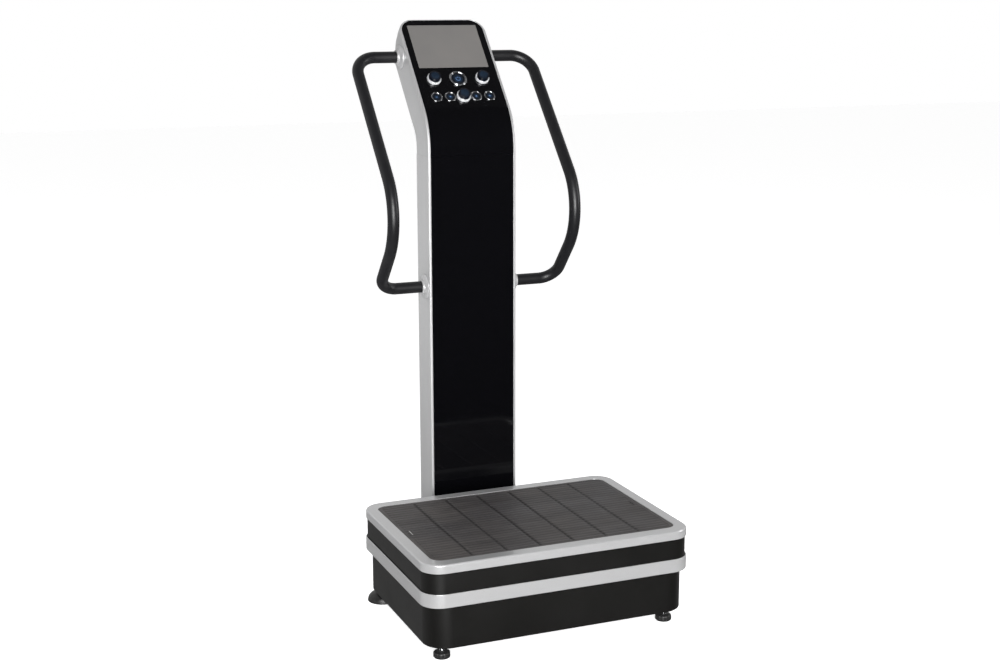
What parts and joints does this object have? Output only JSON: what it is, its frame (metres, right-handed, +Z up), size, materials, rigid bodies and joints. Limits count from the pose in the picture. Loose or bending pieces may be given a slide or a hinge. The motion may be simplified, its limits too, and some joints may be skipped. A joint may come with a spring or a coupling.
{
  "type": "vibration plate",
  "caption": "Standing vibration plate with a rocking deck on a box base, a flat column, a leaning console with screen and buttons, and curved side handles.",
  "frame": {"origin": "on the floor, under the middle of the machine's bounding box", "axes": "+Z up; -Y towards the user's side, where the deck is; +X to the right of someone who looks at the console"},
  "size_m": [0.6624, 0.796, 1.3892],
  "materials": {
    "silver_paint": "satin",
    "deck_silver": "gloss",
    "black_plastic": "satin",
    "black_gloss": "gloss",
    "handle_black": "satin",
    "mat_rubber": "matte",
    "foot_rubber": "matte",
    "chrome": "polished",
    "button_navy": "gloss",
    "screen": "satin",
    "steel": "satin",
    "machined_steel": "satin",
    "board_wood": "matte",
    "circuit": "satin",
    "motor_grey": "satin",
    "belt_rubber": "matte"
  },
  "bodies": {
    "base": {"base_frame": "steel", "base_pan": "steel", "column_front_panel": "black_gloss", "column_mast": "steel", "column_rear_cover": "silver_paint", "column_side_left": "silver_paint", "column_side_right": "silver_paint", "console_board": "circuit", "console_face": "black_gloss", "console_shell": "silver_paint", "control_board": "circuit", "crank_bearing_block": "steel", "display_module": "black_plastic", "drive_belt": "belt_rubber", "handle_left": "handle_black", "handle_right": "handle_black", "handle_left_upper_flange": "silver_paint", "handle_left_lower_flange": "silver_paint", "handle_right_upper_flange": "silver_paint", "handle_right_lower_flange": "silver_paint", "lower_band": "deck_silver", "lower_housing": "black_plastic", "motor": "motor_grey", "motor_bracket": "steel", "neck_cover": "black_plastic", "pivot_bearing_front": "steel", "pivot_bearing_rear": "steel", "power_inlet": "black_plastic", "screen_glass": "screen", "suction_foot_left": "foot_rubber", "suction_foot_right": "foot_rubber", "far_left_ring": "chrome", "near_left_ring": "chrome", "lower_knob_ring": "chrome", "near_right_ring": "chrome", "far_right_ring": "chrome", "left_knob_ring": "chrome", "start_ring": "chrome", "right_knob_ring": "chrome"},
    "deck": {"deck_rim": "deck_silver", "standing_mat": "mat_rubber", "deck_skirt": "black_plastic", "deck_board": "board_wood", "deck_frame": "steel"},
    "crank": {"crankshaft": "machined_steel"},
    "motor_rotor": {"motor_pulley": "machined_steel"},
    "rod": {"connecting_rod": "machined_steel"},
    "switch": {"power_switch": "black_gloss"},
    "front_foot_left": {"foot_stem_left": "chrome", "foot_pad_left": "foot_rubber"},
    "front_foot_right": {"foot_stem_right": "chrome", "foot_pad_right": "foot_rubber"},
    "far_left": {"far_left_button": "button_navy"},
    "near_left": {"near_left_button": "button_navy"},
    "lower_knob": {"lower_knob_button": "button_navy"},
    "near_right": {"near_right_button": "button_navy"},
    "far_right": {"far_right_button": "button_navy"},
    "left_knob": {"left_knob_button": "button_navy"},
    "start": {"start_button": "button_navy"},
    "right_knob": {"right_knob_button": "button_navy"}
  },
  "joints": [
    {"name": "deck_rock", "type": "hinge", "parent": "base", "child": "deck", "pos_m": [0, -0.1627, 0.158], "axis": [0, 1, 0], "range_deg": [-1.7, 1.7]},
    {"name": "crank_spin", "type": "hinge", "parent": "base", "child": "crank", "pos_m": [0.13, -0.1627, 0.12], "axis": [0, 1, 0], "continuous": true},
    {"name": "motor_spin", "type": "hinge", "parent": "base", "child": "motor_rotor", "pos_m": [-0.15, -0.1627, 0.125], "axis": [0, 1, 0], "continuous": true},
    {"name": "rod_swing", "type": "hinge", "parent": "deck", "child": "rod", "pos_m": [0.13, -0.1627, 0.175], "axis": [0, 1, 0], "range_deg": [-2, 2]},
    {"name": "switch_rock", "type": "hinge", "parent": "base", "child": "switch", "pos_m": [-0.025, 0.2498, 0.087], "axis": [1, 0, 0], "range_deg": [0, 16]},
    {"name": "front_foot_left_turn", "type": "hinge", "parent": "base", "child": "front_foot_left", "pos_m": [-0.2795, -0.3497, 0], "axis": [0, 0, 1], "continuous": true},
    {"name": "front_foot_right_turn", "type": "hinge", "parent": "base", "child": "front_foot_right", "pos_m": [0.2795, -0.3497, 0], "axis": [0, 0, 1], "continuous": true},
    {"name": "far_left_press", "type": "slide", "parent": "base", "child": "far_left", "axis": [0, 0.749, -0.6626], "range_m": [0, 0.0015], "stiffness_N_per_m": 400},
    {"name": "near_left_press", "type": "slide", "parent": "base", "child": "near_left", "axis": [0, 0.749, -0.6626], "range_m": [0, 0.0015], "stiffness_N_per_m": 400},
    {"name": "lower_knob_press", "type": "slide", "parent": "base", "child": "lower_knob", "axis": [0, 0.749, -0.6626], "range_m": [0, 0.002], "stiffness_N_per_m": 400},
    {"name": "near_right_press", "type": "slide", "parent": "base", "child": "near_right", "axis": [0, 0.749, -0.6626], "range_m": [0, 0.0015], "stiffness_N_per_m": 400},
    {"name": "far_right_press", "type": "slide", "parent": "base", "child": "far_right", "axis": [0, 0.749, -0.6626], "range_m": [0, 0.0015], "stiffness_N_per_m": 400},
    {"name": "left_knob_press", "type": "slide", "parent": "base", "child": "left_knob", "axis": [0, 0.749, -0.6626], "range_m": [0, 0.002], "stiffness_N_per_m": 400},
    {"name": "start_press", "type": "slide", "parent": "base", "child": "start", "axis": [0, 0.749, -0.6626], "range_m": [0, 0.002], "stiffness_N_per_m": 400},
    {"name": "right_knob_press", "type": "slide", "parent": "base", "child": "right_knob", "axis": [0, 0.749, -0.6626], "range_m": [0, 0.002], "stiffness_N_per_m": 400}
  ],
  "couplings": [
    {"joint": "motor_spin", "follows": "crank_spin", "ratio": 2}
  ]
}
